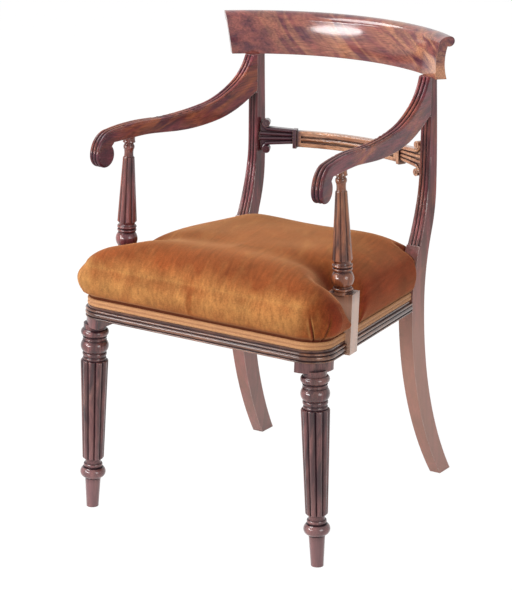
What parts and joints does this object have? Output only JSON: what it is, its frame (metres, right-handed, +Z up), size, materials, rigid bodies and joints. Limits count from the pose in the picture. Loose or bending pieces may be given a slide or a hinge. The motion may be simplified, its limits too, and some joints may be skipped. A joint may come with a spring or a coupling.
{
  "type": "elbow chair",
  "caption": "Mahogany elbow chair with a bent crest rail, scrolled reeded arms, turned and reeded front legs, sabre back legs and a stuffed-over velvet seat.",
  "frame": {"origin": "on the floor under the middle of the chair's bounding box", "axes": "+Z up, the chair faces -Y, +X to the right seen from the front"},
  "size_m": [0.5272, 0.5705, 0.8595],
  "materials": {
    "mahogany": "French polished mahogany",
    "frame_wood": "plain sawn beech",
    "velvet": "rust-coloured cotton velvet",
    "braid": "woven gimp braid",
    "stuffing": "curled hair",
    "webbing": "jute webbing",
    "hessian": "hessian",
    "screw_steel": "plain steel"
  },
  "bodies": {
    "root": {"right_front_leg": "mahogany", "left_front_leg": "mahogany", "right_rear_post": "mahogany", "left_rear_post": "mahogany", "front_seat_rail": "mahogany", "right_side_seat_rail": "mahogany", "left_side_seat_rail": "mahogany", "back_seat_rail": "mahogany", "front_moulding": "mahogany", "right_corner_moulding": "mahogany", "left_corner_moulding": "mahogany", "right_side_moulding": "mahogany", "left_side_moulding": "mahogany", "crest_rail": "mahogany", "mid_rail": "mahogany", "right_arm": "mahogany", "left_arm": "mahogany", "right_arm_support": "mahogany", "left_arm_support": "mahogany", "right_front_corner_block": "frame_wood", "left_front_corner_block": "frame_wood", "right_back_corner_block": "frame_wood", "left_back_corner_block": "frame_wood", "seat_webbing": "webbing", "seat_hessian": "hessian", "stuffing_pad": "stuffing", "seat_cover": "velvet", "front_braid": "braid", "right_side_braid": "braid", "left_side_braid": "braid", "back_braid": "braid", "corner_screws": "screw_steel", "support_screws": "screw_steel"}
  },
  "joints": []
}
